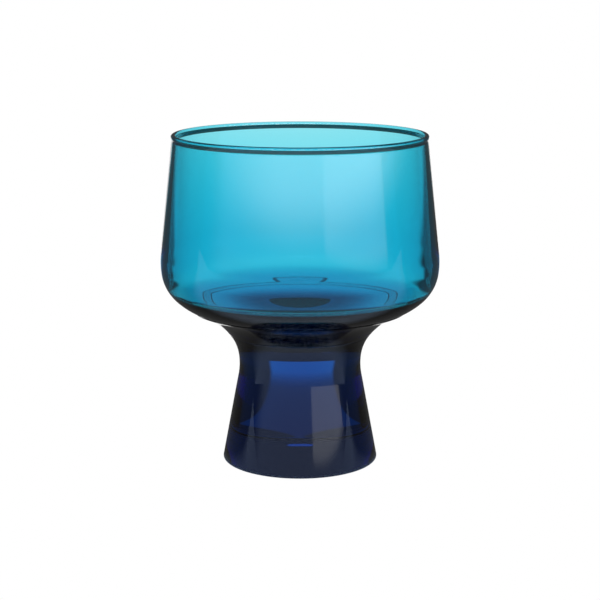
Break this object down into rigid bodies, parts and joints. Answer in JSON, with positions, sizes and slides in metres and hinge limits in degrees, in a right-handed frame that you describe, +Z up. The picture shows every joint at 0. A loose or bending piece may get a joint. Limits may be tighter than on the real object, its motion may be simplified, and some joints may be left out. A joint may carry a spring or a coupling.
{
  "type": "martini glass",
  "caption": "Low footed martini glass: a wide tapering bowl that leans in to a beaded rim, fused to a short waisted foot of solid glass.",
  "frame": {"origin": "centre of the foot's standing ring, on the table", "axes": "+Z up along the axis of turning; +X and +Y are any two level directions, because the glass is round"},
  "size_m": [0.09, 0.09, 0.1068],
  "materials": {
    "bowl_glass": "fire-polished transparent teal-blue glass",
    "foot_glass": "transparent teal-blue glass, pressed, darker because it is solid"
  },
  "bodies": {
    "root": {"bowl": "bowl_glass", "foot": "foot_glass"}
  },
  "joints": []
}
